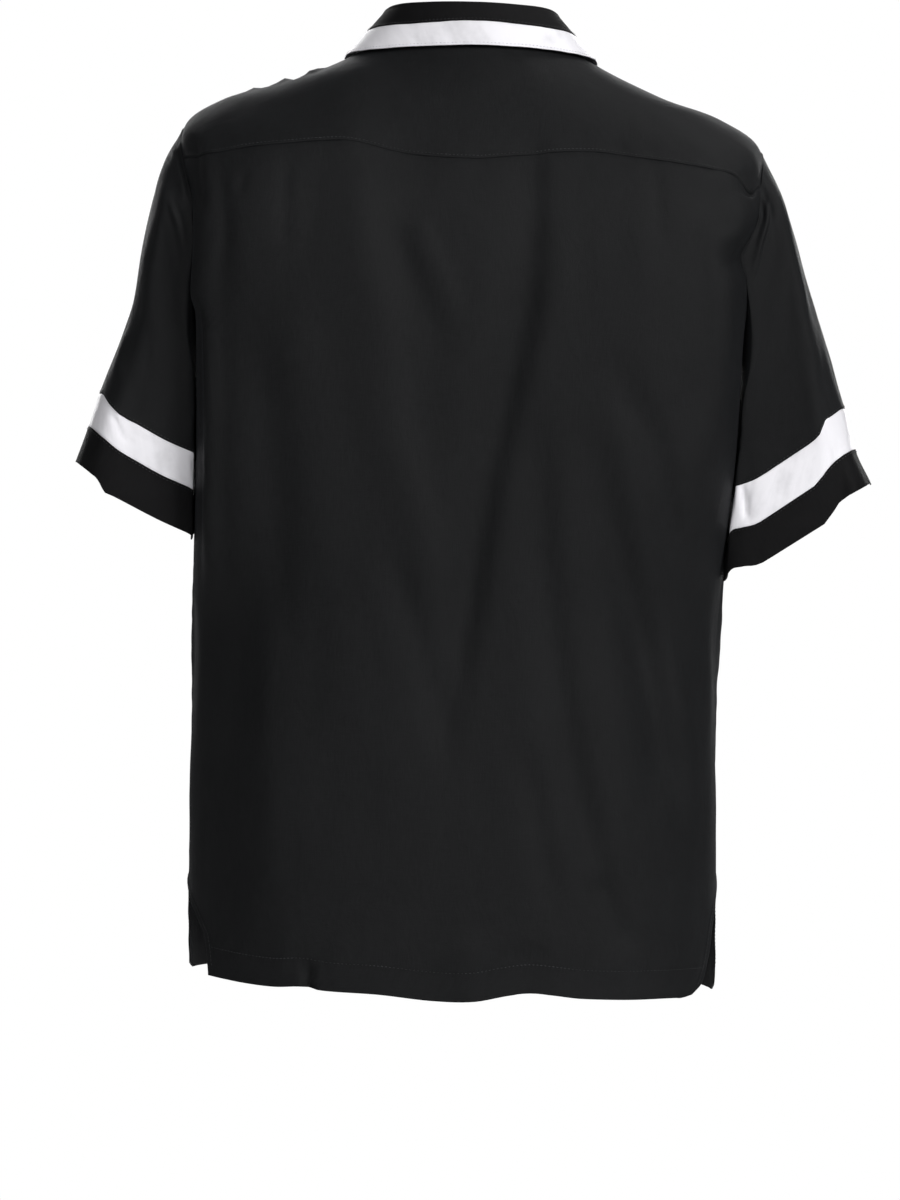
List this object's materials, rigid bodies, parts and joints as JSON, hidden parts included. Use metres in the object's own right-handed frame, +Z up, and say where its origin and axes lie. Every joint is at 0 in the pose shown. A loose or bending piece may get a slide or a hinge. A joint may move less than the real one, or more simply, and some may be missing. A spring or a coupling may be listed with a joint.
{
  "type": "waiter shirt",
  "caption": "Short-sleeved black waiter shirt, buttoned, hollow as worn, with white satin bands along the collar's edge and round the sleeves.",
  "frame": {"origin": "in the middle of the neck opening, 8 mm above the back neck seam, where the wearer's neck and shoulders hold the shirt", "axes": "+Z up the wearer's body, -Y out of the buttoned front, +X to the wearer's left"},
  "size_m": [0.6204, 0.2624, 0.7647],
  "materials": {
    "black_cloth": "soft drapey black woven viscose with a faint sheen",
    "deep_black_trim": "deeper black matt woven cloth",
    "white_satin": "cool white satin",
    "black_button": "black resin, softly polished"
  },
  "bodies": {
    "root": {"back": "black_cloth", "yoke": "black_cloth", "front_left": "black_cloth", "front_right": "black_cloth", "sleeve_left": "black_cloth", "sleeve_right": "black_cloth", "sleeve_band_left": "white_satin", "sleeve_band_right": "white_satin", "sleeve_cuff_left": "deep_black_trim", "sleeve_cuff_right": "deep_black_trim", "collar": "deep_black_trim", "collar_band": "white_satin", "button_1": "black_button", "button_2": "black_button", "button_3": "black_button", "button_4": "black_button", "button_5": "black_button", "button_6": "black_button"}
  },
  "joints": []
}
